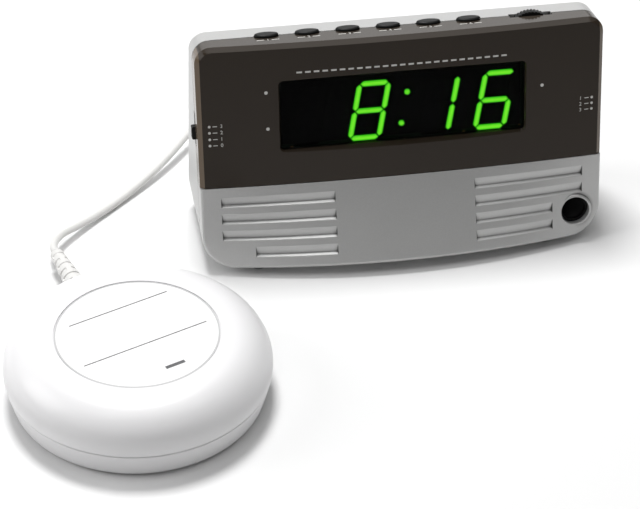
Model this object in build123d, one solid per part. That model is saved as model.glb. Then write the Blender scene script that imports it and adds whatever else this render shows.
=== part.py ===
"""Bed shaker alarm clock: a leaning digital clock, its round vibrating puck and the cord between them.

Millimetres. X runs along the clock to the right, Y to its back and Z up. The clock's pieces are drawn upright,
x across, y back from the face and z up the face, and are then leaned back together. All is laid out from the
middle of the clock's base, and is moved at the end so that the origin is on the table, in the middle of the
ground that the clock and the puck cover.
"""

import os
from math import atan, cos, degrees, hypot, pi, radians, sin, sqrt, tan

from build123d import *

# Clock case
case_width = 166.0
face_height = 95.0
lean = 12.2
face_foot_y = -20.0
face_foot_z = 3.0
base_z = 2.0
rear_foot_y = 32.0
top_depth = 20.44
wall = 2.2
parting_depth = 9.0
reveal_width = 0.5
reveal_depth = 0.5
top_corner = 7.0
base_corner = 13.0
rear_round = 3.0
fit = 0.2
loose = 0.3

# Smoked lens over the upper face, and the silver panel under it
lens_bottom = 35.0
lens_wall = 2.4
lens_bow = 3.6
panel_bow = 11.8
panel_round = 1.2
lens_chamfer = 1.8
shelf = 2.0
frame_plate = 2.0
frame_room = 1.0
frame_gap = 0.6
groove_depth = 1.0
groove_height = 3.6
groove_ledge = 0.9
groove_step = 7.15
groove_low = 6.0
groove_inner = 28.8
groove_margin = 8.0
groove_short_margin = 21.0

# Display
window_width = 100.0
window_height = 29.4
window_drop = 30.5
window_corner = 1.6
window_bevel = 0.9
window_depth = -1.3
pane_thickness = 1.7
pane_lip = 2.0
pane_lip_depth = 0.4
pane_lip_thickness = 1.0
pane_fit = 0.1
module_front = 2.0
module_thickness = 8.0
digit_height = 25.4
digit_width = 14.0
digit_slant = 10.5
digit_stroke = 2.2
digit_drop = 2.1
digit_places = (-37.0, -13.2, 15.2, 38.4)
segment_height = 0.4
segment_gap = 0.35
colon_x = 1.1
colon_spread = 13.3
colon_radius = 1.2

# Circuit boards
board_thickness = 1.6
board_rise = 5.0
board_gap = 0.8
button_board_end = 9.0
button_board_front = 6.2
button_board_back = 19.5
wheel_room = 11.5

# Push buttons and their switches
button_count = 6
button_margin = 30.0
button_wheel_gap = 25.5
button_length = 9.8
button_depth = 5.0
button_rise = 1.1
button_travel = 1.0
button_flange = 0.8
flange_thickness = 1.0
stem_radius = 1.5
stem_length = 3.2
tact_side = 6.0
tact_height = 3.6
plunger_radius = 1.75
plunger_height = 1.4

# Volume wheel
wheel_margin = 28.5
wheel_radius = 10.0
wheel_width = 3.2
wheel_rise = 1.7
wheel_slot = 17.4
wheel_ribs = 44
wheel_shaft_radius = 2.0
running_fit = 0.05
pot_side = 11.0
pot_front = 12.0
pot_depth = 5.5
shaft_bore = 4.5
pot_shoulder = 4.8

# Slide switches on the two sides: positions along the face
left_switch_drop = 10.6
left_switch_step = 2.75
left_switch_stops = 4
right_switch_drop = 8.8
right_switch_step = 2.5
right_switch_stops = 3
knob_height = 5.4
knob_width = 3.0
knob_rise = 1.6
switch_body_width = 5.0
switch_body_depth = 7.0
switch_body_extra = 5.0
switch_groove = 2.0

# Siren behind the round mouth
mouth_margin = 11.0
mouth_z = 11.6
mouth_radius = 6.0
mouth_bead = 0.7
mouth_bead_sunk = 0.2
horn_wall = 0.8
horn_set = 2.3
horn_neck = 2.0
can_inward = 6.5
can_above = 5.4
can_radius = 10.5
can_front = 9.6
can_depth = 9.0
throat_radius = 3.4

# Rear sockets, battery bay and feet
socket_x = 36.0
socket_z = 13.0
recess_width = 14.0
recess_height = 13.0
recess_y = 27.0
socket_radius = 5.0
socket_length = 11.0
socket_bottom = 1.5
socket_flange = 1.0
plug_radius = 2.75
pin_radius = 1.0
battery_size = (48.5, 26.5, 17.5)
battery_y = 10.8
battery_round = 2.0
stud_radius = 2.8
stud_length = 2.5
stud_pitch = 12.6
snap_width = 24.0
snap_height = 11.0
snap_thickness = 2.8
bay_wall = 1.6
door_lap = 1.0
door_thickness = 2.0
foot_radius = 4.5
foot_sink = 1.4
foot_margin = 23.0
foot_front_y = -16.0
foot_rear_y = 24.0

# Screws
screw_radius = 1.4
screw_head_radius = 2.5
screw_head_height = 1.8
boss_radius = 3.6
upper_screw_margin = 11.0
upper_screw_drop = 8.0
upper_screw_head = 15.0
lower_screw_gap = 1.2
lower_screw_drop = 3.8
lower_screw_head = 24.0
board_screw_radius = 1.0
board_screw_head_radius = 2.0
board_screw_head_height = 1.4
board_screw_grip = 3.4
board_post_radius = 3.0
board_post_margin = 9.2
board_post_low = 4.0
board_post_high = 8.6
button_post_end = 5.0
button_post_back = 4.0

# Shaker puck
puck_x = -117.4
puck_y = -88.2
puck_radius = 51.4
puck_belly = 14.5
puck_round = 14.5
puck_seam = 12.0
puck_taper = 14.0
puck_base_round = 4.0
puck_lip = 0.6
puck_wall = 2.4
label_radius = 31.7
label_recess = 0.5
label_thickness = 0.3
seam_groove = 0.5
motor_radius = 10.0
motor_length = 26.0
motor_z = 14.4
motor_left = -24.0
shaft_radius = 1.0
shaft_reach = 20.0
weight_radius = 10.0
weight_length = 12.0
weight_gap = 3.0
clamp_thickness = 1.6
clamp_width = 8.0
clamp_foot = 8.0
cradle_top = 8.0
puck_screw_ring = 38.0
puck_screw_count = 3
puck_post_radius = 3.4
puck_post_height = 5.0
puck_screw_length = 9.0

# Cord and its fittings
cord_diameter = 3.2
relief_angle = 107.8
relief_z = 7.5
relief_neck_radius = 2.9
relief_gap = 0.3
relief_collar_length = 1.6
relief_collar_radius = 3.7
relief_tip = 86.0
relief_root_radius = 5.0
relief_tip_radius = 2.6
relief_ribs = 7
coil_x = 33.0
coil_y = 103.0
coil_angle = 135.0
coil_outer = 24.0
coil_turns = 3
coil_layers = 4
coil_step = 4.5
layer_step = 3.85
tie_thickness = 0.8
tie_width = 4.0
tie_room = 0.3
plug_gap = 0.7
plug_grip_radius = 4.6
plug_grip_length = 16.0
plug_relief_length = 10.0
plug_relief_radius = 2.4

half_width = case_width / 2
cord_radius = cord_diameter / 2
lens_inner_half = half_width - lens_wall
lens_inner_top = face_height - lens_wall
flange_top = lens_inner_top - fit
flange_bottom = flange_top - flange_thickness
stem_bottom = flange_bottom - stem_length
button_board_top = stem_bottom - fit - button_travel - plunger_height - tact_height
window_middle = face_height - window_drop
digit_middle = window_middle - digit_drop
left_switch_low = window_middle - left_switch_drop
right_switch_low = window_middle - right_switch_drop
groove_outer = half_width - groove_margin
groove_short = half_width - groove_short_margin
wheel_x = half_width - wheel_margin
wheel_z = face_height + wheel_rise - wheel_radius
button_first = button_margin - half_width
button_step = (wheel_x - button_wheel_gap - button_first) / (button_count - 1)
button_places = [button_first + button_step * index for index in range(button_count)]
board_half = lens_inner_half - 2 * fit - switch_body_width
board_bottom = lens_bottom + board_rise
board_top = button_board_top - board_thickness - board_gap
board_notch = wheel_x - wheel_room
board_post_x = board_half - board_post_margin
board_post_z = (board_bottom + board_post_low, board_top - board_post_high)
button_board_left = button_first - button_board_end
button_board_right = wheel_x + wheel_room
button_post_places = (button_board_left + button_post_end, board_notch - button_post_end - 1)
button_post_y = button_board_back - button_post_back
mouth_x = half_width - mouth_margin
can_x = mouth_x - can_inward
can_z = mouth_z + can_above
foot_x = half_width - foot_margin
lower_screw_x = socket_x + recess_width / 2 + wall + boss_radius + lower_screw_gap
upper_screw = (half_width - upper_screw_margin, face_height - upper_screw_drop, upper_screw_head)
lower_screw = (lower_screw_x, lens_bottom - lower_screw_drop, lower_screw_head)
leaned = Location((0, face_foot_y, face_foot_z), (-lean, 0, 0))
upright = leaned.inverse()
far = 150.0


def block(x0, x1, y0, y1, z0, z1):
    return Pos((x0 + x1) / 2, (y0 + y1) / 2, (z0 + z1) / 2) * Box(x1 - x0, y1 - y0, z1 - z0)


def rod_y(radius, x, z, y0, y1):
    return Pos(x, (y0 + y1) / 2, z) * Rot(90, 0, 0) * Cylinder(radius, y1 - y0)


def rod_z(radius, x, y, z0, z1):
    return Pos(x, y, (z0 + z1) / 2) * Cylinder(radius, z1 - z0)


def rod_x(radius, y, z, x0, x1):
    return Pos((x0 + x1) / 2, y, z) * Rot(0, 90, 0) * Cylinder(radius, x1 - x0)


def oval(length, depth, x, y, z0, z1):
    return Pos(x, y, z0) * extrude(Ellipse(length / 2, depth / 2), amount=z1 - z0)


def screw(head_radius, head_height, radius, length):
    """A pan-head screw along -Z, its head's underside at z = 0, with a cross recess."""
    slot = head_radius * 1.2
    cross = Box(slot, slot / 4, head_height) + Box(slot / 4, slot, head_height)
    head = rod_z(head_radius, 0, 0, 0, head_height)
    head = chamfer(head.edges().sort_by(Axis.Z)[-1], head_height / 4)
    return head + rod_z(radius, 0, 0, -length, 0) - Pos(0, 0, head_height) * cross


def small_screw(length):
    return screw(board_screw_head_radius, board_screw_head_height, board_screw_radius, length)


# Case form: the same outline serves the outside and, set in by a wall, the hollow
def bow_at(z):
    below = max(0.0, lens_bottom - z) / lens_bottom
    return lens_bow + (panel_bow - lens_bow) * below


def bow_radius(z):
    bow = bow_at(z)
    return (half_width**2 + bow**2) / (2 * bow)


def face_depth(x, z):
    radius = bow_radius(z)
    return radius - sqrt(radius**2 - x**2) - bow_at(z)


def bow_section(z, inset, back):
    reach = half_width + 6
    edge = inset + face_depth(reach, z)
    front = ThreePointArc((-reach, edge), (0, inset - bow_at(z)), (reach, edge))
    rest = Polyline((reach, edge), (reach, back), (-reach, back), (-reach, edge))
    return Pos(0, 0, z) * make_face(front + rest)


def front_block(inset):
    low = bow_section(-3 * base_z - face_foot_z, inset, far)
    middle = bow_section(lens_bottom, inset, far)
    lower = loft([low.face(), middle.face()], ruled=True)
    return lower + extrude(middle, amount=face_height, dir=(0, 0, 1))


def upper_block(inset):
    half = half_width - inset
    top = face_height - inset
    outline = make_face(Polyline((-half, inset), (half, inset), (half, top), (-half, top), close=True))
    outline = fillet(outline.vertices().group_by(Axis.Y)[-1], top_corner - inset)
    outline = fillet(outline.vertices().group_by(Axis.Y)[0], base_corner - inset)
    return extrude(Plane.XZ * outline, amount=far, both=True)


def base_block(inset):
    half = half_width - inset
    low = base_z + inset
    outline = make_face(Polyline((-half, low), (half, low), (half, far), (-half, far), close=True))
    outline = fillet(outline.vertices().group_by(Axis.Y)[0], base_corner - inset)
    return upright * extrude(Plane.XZ * outline, amount=far, both=True)


top_rear = (leaned * Pos(0, top_depth, face_height)).position
rear_slope = (rear_foot_y - top_rear.Y) / (top_rear.Z - base_z)


def rear_y(z, inset):
    return rear_foot_y - inset - (z - base_z) * rear_slope


def rear_block(inset):
    low, high = rear_y(-far, inset), rear_y(far, inset)
    side = Polyline((-far, -far), (low, -far), (high, far), (-far, far), close=True)
    return upright * extrude(Plane.YZ * make_face(side), amount=far, both=True)


def case_form(inset):
    return front_block(inset) & upper_block(inset) & base_block(inset) & rear_block(inset)


def rounded_case():
    form = case_form(0).solid()
    rear = form.faces().sort_by(lambda face: face.normal_at(face.center()).Y)[-1]
    return fillet(rear.edges(), rear_round)


case_outer = rounded_case()
case_inner = case_form(wall)
lens_hollow = case_form(lens_wall)
behind_parting = block(-far, far, parting_depth, far, -far, far)
before_parting = block(-far, far, -far, parting_depth, -far, far)
above_panel = block(-far, far, -far, far, lens_bottom + fit, far)
below_lens = block(-far, far, -far, far, -far, lens_bottom)
below_shelf = block(-far, far, -far, far, -far, lens_bottom - shelf)

left_slot = (left_switch_low, left_switch_low + left_switch_step * (left_switch_stops - 1))
right_slot = (right_switch_low, right_switch_low + right_switch_step * (right_switch_stops - 1))
frame_depth = lens_wall + fit + frame_gap
frame_back = frame_depth + frame_plate
board_front = module_front + module_thickness
board_back = board_front + board_thickness


# Openings that the lens and the rear shell share along their parting line
def parting_cuts():
    cuts = Part()
    cut_low = lens_inner_top - lens_wall
    for x in button_places:
        cuts += oval(button_length + 2 * loose, button_depth + 2 * loose, x, parting_depth, cut_low, far)
    slot_half = wheel_width / 2 + loose
    cuts += block(wheel_x - wheel_slot / 2, wheel_x + wheel_slot / 2, parting_depth - slot_half,
                  parting_depth + slot_half, cut_low, far)
    for side, (low, high) in ((-1, left_slot), (1, right_slot)):
        reach = knob_height / 2 + loose
        inner, outer = sorted((side * (lens_inner_half - lens_wall), side * far))
        cuts += block(inner, outer, parting_depth - knob_width / 2 - loose,
                      parting_depth + knob_width / 2 + loose, low - reach, high + reach)
    return cuts


shared_cuts = parting_cuts()


def lens_cover():
    """Smoked cover that wraps over the upper face, the top and both sides as far as the parting line."""
    body = (case_outer & before_parting & above_panel).solid()
    rim = [e for e in body.edges() if e.center().Y < 1 and e.center().Z > lens_bottom + 1]
    body = chamfer(rim, lens_chamfer)
    body = body - (lens_hollow & block(-far, far, -far, parting_depth + 1, -far, far))
    body -= extrude(window_outline(-parting_depth, 0), amount=far)
    grow = window_bevel * 2
    wide = window_outline(bow_at(face_height) + window_bevel, grow)
    narrow = window_outline(-window_depth, 0)
    return body - loft([wide.face(), narrow.face()]) - shared_cuts


def window_outline(ahead, grow):
    """Round-cornered outline of the window, some way ahead of the face's foot plane."""
    shape = RectangleRounded(window_width + 2 * grow, window_height + 2 * grow, window_corner + grow)
    return Plane.XZ.offset(ahead) * Pos(0, window_middle, 0) * shape


def display_window():
    low = window_middle - window_height / 2
    high = window_middle + window_height / 2
    half = window_width / 2
    pane = extrude(window_outline(-window_depth - pane_thickness, -pane_fit), amount=pane_thickness)
    lip = block(-half - pane_lip, half + pane_lip, pane_lip_depth, pane_lip_depth + pane_lip_thickness,
                low - pane_lip, high + pane_lip)
    return pane + lip


def groove(x0, x1, ledge):
    """Louvre cut whose floor slopes in from the panel's surface down to a short steep ledge."""
    def section(z, inset):
        reach = half_width + 6
        edge = inset + face_depth(reach, z)
        back = ThreePointArc((-reach, edge), (0, inset - bow_at(z)), (reach, edge))
        rest = Polyline((reach, edge), (reach, -far), (-reach, -far), (-reach, edge))
        return (Pos(0, 0, z) * make_face(back + rest)).face()

    low = section(ledge - groove_ledge, -0.02)
    high = section(ledge + groove_height, -0.02)
    cut = loft([low, section(ledge, groove_depth), high], ruled=True)
    return cut & block(x0, x1, -far, far, -far, far)


def horn_mouth(radius, start, end):
    return rod_y(radius, mouth_x, mouth_z, start, end)


def front_shell():
    """Silver panel with its grooves and siren mouth, and the frame that stands up behind the lens."""
    body = (case_outer & before_parting & below_lens).solid()
    face = body.faces().sort_by(Axis.Y)[0]
    body = fillet([e for e in face.edges() if e.center().Z < lens_bottom - panel_round], panel_round)
    body -= case_inner & below_shelf
    half = lens_inner_half - fit
    top = lens_inner_top - fit
    low = lens_bottom - shelf
    plate = make_face(Polyline((-half, low), (half, low), (half, top), (-half, top), close=True))
    plate = fillet(plate.vertices().group_by(Axis.Y)[-1], top_corner - lens_wall)
    body += Pos(0, frame_back, 0) * extrude(Plane.XZ * plate, amount=frame_plate)
    across = window_width / 2 + pane_lip + frame_room
    up = window_height / 2 + pane_lip + frame_room
    body -= block(-across, across, frame_depth - 1, frame_back + 1, window_middle - up, window_middle + up)
    for side, (low, high) in ((-1, left_slot), (1, right_slot)):
        inner, outer = sorted((side * (board_half - frame_room), side * half_width))
        body -= block(inner, outer, frame_depth - 1, frame_back + 1,
                      low - switch_body_extra - frame_room, high + switch_body_extra + frame_room)
    for row in range(4):
        ledge = groove_low + groove_step * row
        outer = groove_short if row < 2 else groove_outer
        left_outer = groove_short if row < 1 else groove_outer
        body -= groove(groove_inner, outer, ledge)
        body -= groove(-left_outer, -groove_inner, ledge)
    for side in (-1, 1):
        x, z, _ = upper_screw
        body += rod_y(boss_radius, side * x, z, frame_depth + frame_plate / 2, parting_depth)
        body -= rod_y(screw_radius + running_fit, side * x, z, frame_back, parting_depth)
        x, z, _ = lower_screw
        start = face_depth(x, z) + wall / 2
        body += rod_y(boss_radius, side * x, z, start, parting_depth)
        body -= rod_y(screw_radius + running_fit, side * x, z, start + wall, parting_depth)
        for z in board_post_z:
            post_x = side * board_post_x
            body += rod_y(board_post_radius, post_x, z, frame_depth + frame_plate / 2, board_front)
            body -= rod_y(board_screw_radius + running_fit, post_x, z, frame_back, board_front)
    surface = face_depth(mouth_x, mouth_z)
    turn = degrees(atan(face_depth(mouth_x + 0.5, mouth_z) - face_depth(mouth_x - 0.5, mouth_z)))
    bead = Rot(90, 0, turn) * Torus(mouth_radius + mouth_bead / 2, mouth_bead)
    body += Pos(mouth_x, surface + mouth_bead_sunk, mouth_z) * bead
    body -= horn_mouth(mouth_radius, surface - 6, parting_depth)
    for side in (-1, 1):
        pocket = rod_z(foot_radius + fit, side * foot_x, foot_front_y, base_z - 1, base_z + foot_sink)
        body -= upright * pocket
    return body


def siren_horn():
    """Black funnel from the mouth in the panel to the front of the siren."""
    start = face_depth(mouth_x, mouth_z) + horn_set
    end = start + horn_neck
    wide = mouth_radius - fit

    def tube(shrink, y0, y1):
        front = Plane.XZ.offset(-y0) * Pos(mouth_x, mouth_z) * Circle(wide - shrink)
        back = Plane.XZ.offset(-y1) * Pos(can_x, can_z) * Circle(throat_radius + horn_wall - shrink)
        return loft([front.face(), back.face()])

    neck = rod_y(wide, mouth_x, mouth_z, start, end) - rod_y(wide - horn_wall, mouth_x, mouth_z, start, end)
    funnel = tube(0, end, can_front) - tube(horn_wall, end, can_front)
    return neck + funnel


def siren_can():
    body = rod_y(can_radius, can_x, can_z, can_front, can_front + can_depth)
    body = fillet(body.edges().filter_by(GeomType.CIRCLE), 0.8)
    port = rod_y(throat_radius, can_x, can_z, can_front - 1, can_front + 2)
    pins = rod_y(0.5, can_x - 4, can_z, can_front + can_depth, can_front + can_depth + 3)
    pins += rod_y(0.5, can_x + 4, can_z, can_front + can_depth, can_front + can_depth + 3)
    return body - port + pins


bay_half = battery_size[0] / 2 + fit
bay_front = battery_y - battery_size[1] / 2 - fit
bay_back = battery_y + battery_size[1] / 2 + fit
door_top = base_z + door_thickness
bay_floor = base_z + wall
bay_top = bay_floor + battery_size[2] + 2 * fit
cell_end = battery_size[0] / 2 - snap_thickness - fit
stud_z = bay_floor + fit + battery_size[2] / 2
stud_places = (battery_y - stud_pitch / 2, battery_y + stud_pitch / 2)


def rear_shell():
    """Rear half of the case, with screw tubes, battery bay and the recesses for the two sockets."""
    body = (case_outer & behind_parting).solid()
    rim = block(-far, far, parting_depth, parting_depth + reveal_width, -far, far)
    body -= rim - case_form(reveal_depth)
    body -= case_inner & behind_parting
    for side in (-1, 1):
        for x, z, head in (upper_screw, lower_screw):
            tube = rod_y(boss_radius, side * x, z, parting_depth, far) & case_outer
            body += tube
            body -= rod_y(screw_radius + fit, side * x, z, parting_depth - 1, far)
            body -= rod_y(screw_head_radius + loose, side * x, z, head, far)
    for x in button_post_places:
        body += rod_z(board_post_radius, x, button_post_y, button_board_top, face_height - wall / 2)
        body -= rod_z(board_screw_radius + running_fit, x, button_post_y, button_board_top - 1,
                      button_board_top + board_screw_grip + 2 * wall)
    bay = block(-bay_half - bay_wall, bay_half + bay_wall, bay_front - bay_wall, bay_back + bay_wall,
                base_z + wall / 2, bay_top + bay_wall)
    bay_hole = block(-bay_half, bay_half, bay_front, bay_back, base_z - 1, bay_top)
    sill = block(-bay_half - door_lap - fit, bay_half + door_lap + fit, bay_front - door_lap - fit, far,
                 base_z - 1, base_z + wall)
    snap_gap = block(bay_half - 1, bay_half + bay_wall + 1, stud_places[0], stud_places[1],
                     stud_z - snap_height / 2, stud_z + snap_height / 2)
    sockets = Part()
    for side in (-1, 1):
        outer = block(side * socket_x - recess_width / 2 - wall, side * socket_x + recess_width / 2 + wall,
                      recess_y - wall, rear_foot_y, socket_z - recess_height / 2 - wall,
                      socket_z + recess_height / 2 + wall)
        sockets += outer
    inside = leaned * case_outer
    body = leaned * body
    body += (bay + sockets) & inside
    body -= bay_hole + sill + snap_gap
    for side in (-1, 1):
        body -= block(side * socket_x - recess_width / 2, side * socket_x + recess_width / 2, recess_y, far,
                      socket_z - recess_height / 2, socket_z + recess_height / 2)
        body -= rod_y(socket_radius + fit, side * socket_x, socket_z, recess_y - wall - 1, far)
        body -= rod_z(foot_radius + fit, side * foot_x, foot_rear_y, base_z - 1, base_z + foot_sink)
    return upright * body - shared_cuts


# Display pieces
def digit_point(place, across, up):
    return (place + across + up * tan(radians(digit_slant)), digit_middle + up)


def bar(start, end, stroke):
    """Six-sided segment from one point of the face to another."""
    (x0, z0), (x1, z1) = start, end
    length = hypot(x1 - x0, z1 - z0)
    along = ((x1 - x0) / length, (z1 - z0) / length)
    across = (-along[1], along[0])
    half = stroke / 2

    def corner(distance, offset):
        return (x0 + along[0] * distance + across[0] * offset, z0 + along[1] * distance + across[1] * offset)

    return Polyline(corner(0, 0), corner(half, half), corner(length - half, half), corner(length, 0),
                    corner(length - half, -half), corner(half, -half), close=True)


def digit_bars(place, lit):
    w = (digit_width - digit_stroke) / 2
    h = (digit_height - digit_stroke) / 2
    ends = {"a": ((-w, h), (w, h)), "b": ((w, h), (w, 0)), "c": ((w, 0), (w, -h)), "d": ((-w, -h), (w, -h)),
            "e": ((-w, 0), (-w, -h)), "f": ((-w, h), (-w, 0)), "g": ((-w, 0), (w, 0))}
    bars = []
    for name in lit:
        (ax, az), (bx, bz) = ends[name]
        run = hypot(bx - ax, bz - az)
        gap = segment_gap / run
        start = digit_point(place, ax + (bx - ax) * gap, az + (bz - az) * gap)
        end = digit_point(place, bx + (ax - bx) * gap, bz + (az - bz) * gap)
        bars.append(bar(start, end, digit_stroke))
    return bars


def lit_segments():
    """The bars and colon dots that glow for the time 8:16."""
    shape = Part()
    seat = Plane.XZ.offset(-module_front)
    for place, lit in zip(digit_places[1:], ("abcdefg", "bc", "acdefg")):
        for outline in digit_bars(place, lit):
            shape += extrude(seat * make_face(outline), amount=segment_height)
    for up in (-colon_spread / 2, colon_spread / 2):
        x, z = digit_point(colon_x, 0, up)
        shape += rod_y(colon_radius, x, z, module_front - segment_height, module_front)
    return shape


def led_module():
    half = window_width / 2 - 1
    return block(-half, half, module_front, board_front, window_middle - window_height / 2 + 1,
                 window_middle + window_height / 2 - 1)


# Boards and switches
def main_board():
    board = block(-board_half, board_half, board_front, board_back, board_bottom, board_top)
    board -= block(board_notch, far, board_front - 1, board_back + 1, wheel_z - wheel_radius - 1.5, far)
    for side in (-1, 1):
        for z in board_post_z:
            board -= rod_y(board_screw_radius + fit, side * board_post_x, z, board_front - 1, board_back + 1)
    return board


def button_board():
    low = button_board_top - board_thickness
    board = block(button_board_left, button_board_right, button_board_front, button_board_back,
                  low, button_board_top)
    board -= block(wheel_x - wheel_radius - 1, far, -far, parting_depth + wheel_width / 2 + 0.6, -far, far)
    for x in button_post_places:
        board -= rod_z(board_screw_radius + fit, x, button_post_y, low - 1, button_board_top + 1)
    return board


def push_button(x):
    top = face_height + button_rise
    cap = oval(button_length, button_depth, x, parting_depth, flange_top, top)
    cap = fillet(cap.edges().group_by(Axis.Z)[-1], button_rise * 0.7)
    flange = oval(button_length + 2 * button_flange, button_depth + 2 * button_flange, x, parting_depth,
                  flange_bottom, flange_top)
    return cap + flange + rod_z(stem_radius, x, parting_depth, stem_bottom, flange_bottom)


def tact_switch(x):
    half = tact_side / 2
    body = block(x - half, x + half, parting_depth - half + 0.3, parting_depth + half + 0.3,
                 button_board_top, button_board_top + tact_height)
    return body + rod_z(plunger_radius, x, parting_depth, button_board_top + tact_height,
                        button_board_top + tact_height + plunger_height)


def volume_wheel():
    half = wheel_width / 2
    wheel = rod_y(wheel_radius, wheel_x, wheel_z, parting_depth - half, parting_depth + half)
    rib_radius = pi * wheel_radius / wheel_ribs / 2
    for index in range(wheel_ribs):
        angle = 2 * pi * index / wheel_ribs
        wheel -= rod_y(rib_radius, wheel_x + wheel_radius * cos(angle), wheel_z + wheel_radius * sin(angle),
                       parting_depth - half - 1, parting_depth + half + 1)
    shaft_end = pot_front + shaft_bore - fit
    return wheel + rod_y(wheel_shaft_radius, wheel_x, wheel_z, parting_depth + half, shaft_end)


def volume_pot():
    half = pot_side / 2
    body = block(wheel_x - half, wheel_x + half, pot_front, pot_front + pot_depth,
                 button_board_top, wheel_z + pot_shoulder)
    bore_end = pot_front + shaft_bore
    return body - rod_y(wheel_shaft_radius + running_fit, wheel_x, wheel_z, pot_front - 1, bore_end)


def slide_switch(side, slot):
    low = slot[0] - switch_body_extra
    high = slot[1] + switch_body_extra
    inner, outer = sorted((side * (board_half + fit), side * (lens_inner_half - fit)))
    deep = switch_body_depth / 2
    body = block(inner, outer, parting_depth - deep, parting_depth + deep, low, high)
    reach = knob_height / 2 + loose
    groove_floor = lens_inner_half - fit - switch_groove - loose
    groove_in, groove_out = sorted((side * groove_floor, side * half_width))
    body -= block(groove_in, groove_out, parting_depth - knob_width / 2 - loose,
                  parting_depth + knob_width / 2 + loose, slot[0] - reach, slot[1] + reach)
    pin_in, pin_out = sorted((side * (board_half - 4), side * (board_half + fit)))
    for share in (0.25, 0.5, 0.75):
        z = low + (high - low) * share
        body += block(pin_in, pin_out, board_back, board_back + 0.6, z - 0.7, z + 0.7)
    return body


def slide_knob(side, rest):
    inner, outer = sorted((side * (lens_inner_half - fit - switch_groove), side * (half_width + knob_rise)))
    knob = block(inner, outer, parting_depth - knob_width / 2, parting_depth + knob_width / 2,
                 rest - knob_height / 2, rest + knob_height / 2)
    tip = [e for e in knob.edges().filter_by(Axis.Y) if abs(e.center().X) > half_width]
    return fillet(tip, 0.7)


# Sockets, battery and feet
socket_floor = recess_y - socket_length + socket_bottom


def socket(side):
    x = side * socket_x
    body = rod_y(socket_radius, x, socket_z, recess_y - socket_length, recess_y)
    body += rod_y(socket_radius + socket_flange, x, socket_z, recess_y, recess_y + socket_flange)
    return body - rod_y(plug_radius + running_fit, x, socket_z, socket_floor, far)


def power_pin():
    """Contact pin that stands on the floor of the power inlet's bore, with a rounded tip."""
    pin = rod_y(pin_radius, -socket_x, socket_z, socket_floor, recess_y)
    return fillet(pin.edges().group_by(Axis.Y)[-1], pin_radius / 2)


def backup_battery():
    length, width, height = battery_size
    cell = block(-length / 2, cell_end, battery_y - width / 2, battery_y + width / 2,
                 bay_floor + fit, bay_floor + fit + height)
    cell = fillet(cell.edges().filter_by(Axis.X), battery_round)
    for y in stud_places:
        cell += rod_x(stud_radius, y, stud_z, cell_end, cell_end + stud_length)
    return cell


def battery_snap():
    start = cell_end + fit
    cap = block(start, start + snap_thickness, battery_y - snap_width / 2, battery_y + snap_width / 2,
                stud_z - snap_height / 2, stud_z + snap_height / 2)
    for y in stud_places:
        cap -= rod_x(stud_radius + fit, y, stud_z, cell_end, cell_end + 2 * snap_thickness)
    return cap


def battery_door():
    half = bay_half + door_lap
    plate = block(-half, half, bay_front - door_lap, far, base_z, door_top)
    plate = plate & (leaned * case_outer)
    for index in range(5):
        y = rear_foot_y - 8 + index * 1.2
        plate -= block(-8, 8, y, y + 0.6, base_z - 1, base_z + 0.5)
    return plate


def foot(x, y):
    pad = rod_z(foot_radius, x, y, 0, base_z + foot_sink)
    return chamfer(pad.edges().group_by(Axis.Z)[0], 0.5)


def along_depth(shape, x, z, depth):
    """Turn a -Z screw so that it drives in towards the face, its head's underside at that depth."""
    return Pos(x, depth, z) * Rot(-90, 0, 0) * shape


def case_screws():
    group = Part()
    for x, z, head in (upper_screw, lower_screw):
        for side in (-1, 1):
            stop = frame_back + 0.6 if z > lens_bottom else face_depth(x, z) + 2 * wall
            one = screw(screw_head_radius, screw_head_height, screw_radius, head - stop)
            group += along_depth(one, side * x, z, head)
    return group


def board_screws():
    group = Part()
    one = small_screw(board_thickness + board_screw_grip)
    for side in (-1, 1):
        for z in board_post_z:
            group += along_depth(one, side * board_post_x, z, board_back)
    for x in button_post_places:
        group += Pos(x, button_post_y, button_board_top - board_thickness) * Rot(180, 0, 0) * one
    return group


# Shaker puck, drawn about its own middle
dome_middle = puck_radius - puck_round
seam_radius = dome_middle + sqrt(puck_round ** 2 - (puck_belly - puck_seam) ** 2)
puck_slope = tan(radians(puck_taper))


def base_side(z):
    """Radius of the base's tapered side at a height."""
    return seam_radius - (puck_seam - z) * puck_slope


base_flat = base_side(puck_base_round) - puck_base_round / cos(radians(puck_taper))


def puck_profile(inset):
    """Puck set in by a wall: a tapered base, and on it a dome that is widest above the seam."""
    low_arc = puck_base_round - inset
    top_arc = puck_round - inset

    def on_base(angle):
        return base_flat + low_arc * cos(radians(angle)), puck_base_round - low_arc * sin(radians(angle))

    seam_point = (dome_middle + sqrt(top_arc ** 2 - (puck_belly - puck_seam) ** 2), puck_seam)
    dome_point = (dome_middle + top_arc * sqrt(0.5), puck_belly + top_arc * sqrt(0.5))
    top_point = (dome_middle, puck_belly + top_arc)
    outline = Line((0, inset), on_base(90))
    outline += ThreePointArc(on_base(90), on_base(45 + puck_taper / 2), on_base(puck_taper))
    outline += Line(on_base(puck_taper), seam_point)
    outline += ThreePointArc(seam_point, dome_point, top_point)
    outline += Polyline(top_point, (0, puck_belly + top_arc), (0, inset))
    return revolve(Plane.XZ * make_face(outline), axis=Axis.Z)


puck_outer = puck_profile(0)
puck_inner = puck_profile(puck_wall)
puck_top = puck_belly + puck_round
above_seam = block(-far, far, -far, far, puck_seam, far)
below_seam = block(-far, far, -far, far, -far, puck_seam)
relief_way = Location((0, 0, relief_z), (0, 0, relief_angle))
collar_end = base_side(relief_z - relief_collar_radius) - puck_wall / cos(radians(puck_taper)) - fit
relief_inner = collar_end - relief_collar_length
screw_angles = [360 / puck_screw_count * index + 30 for index in range(puck_screw_count)]


def ring_place(angle):
    return puck_screw_ring * cos(radians(angle)), puck_screw_ring * sin(radians(angle))


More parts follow.
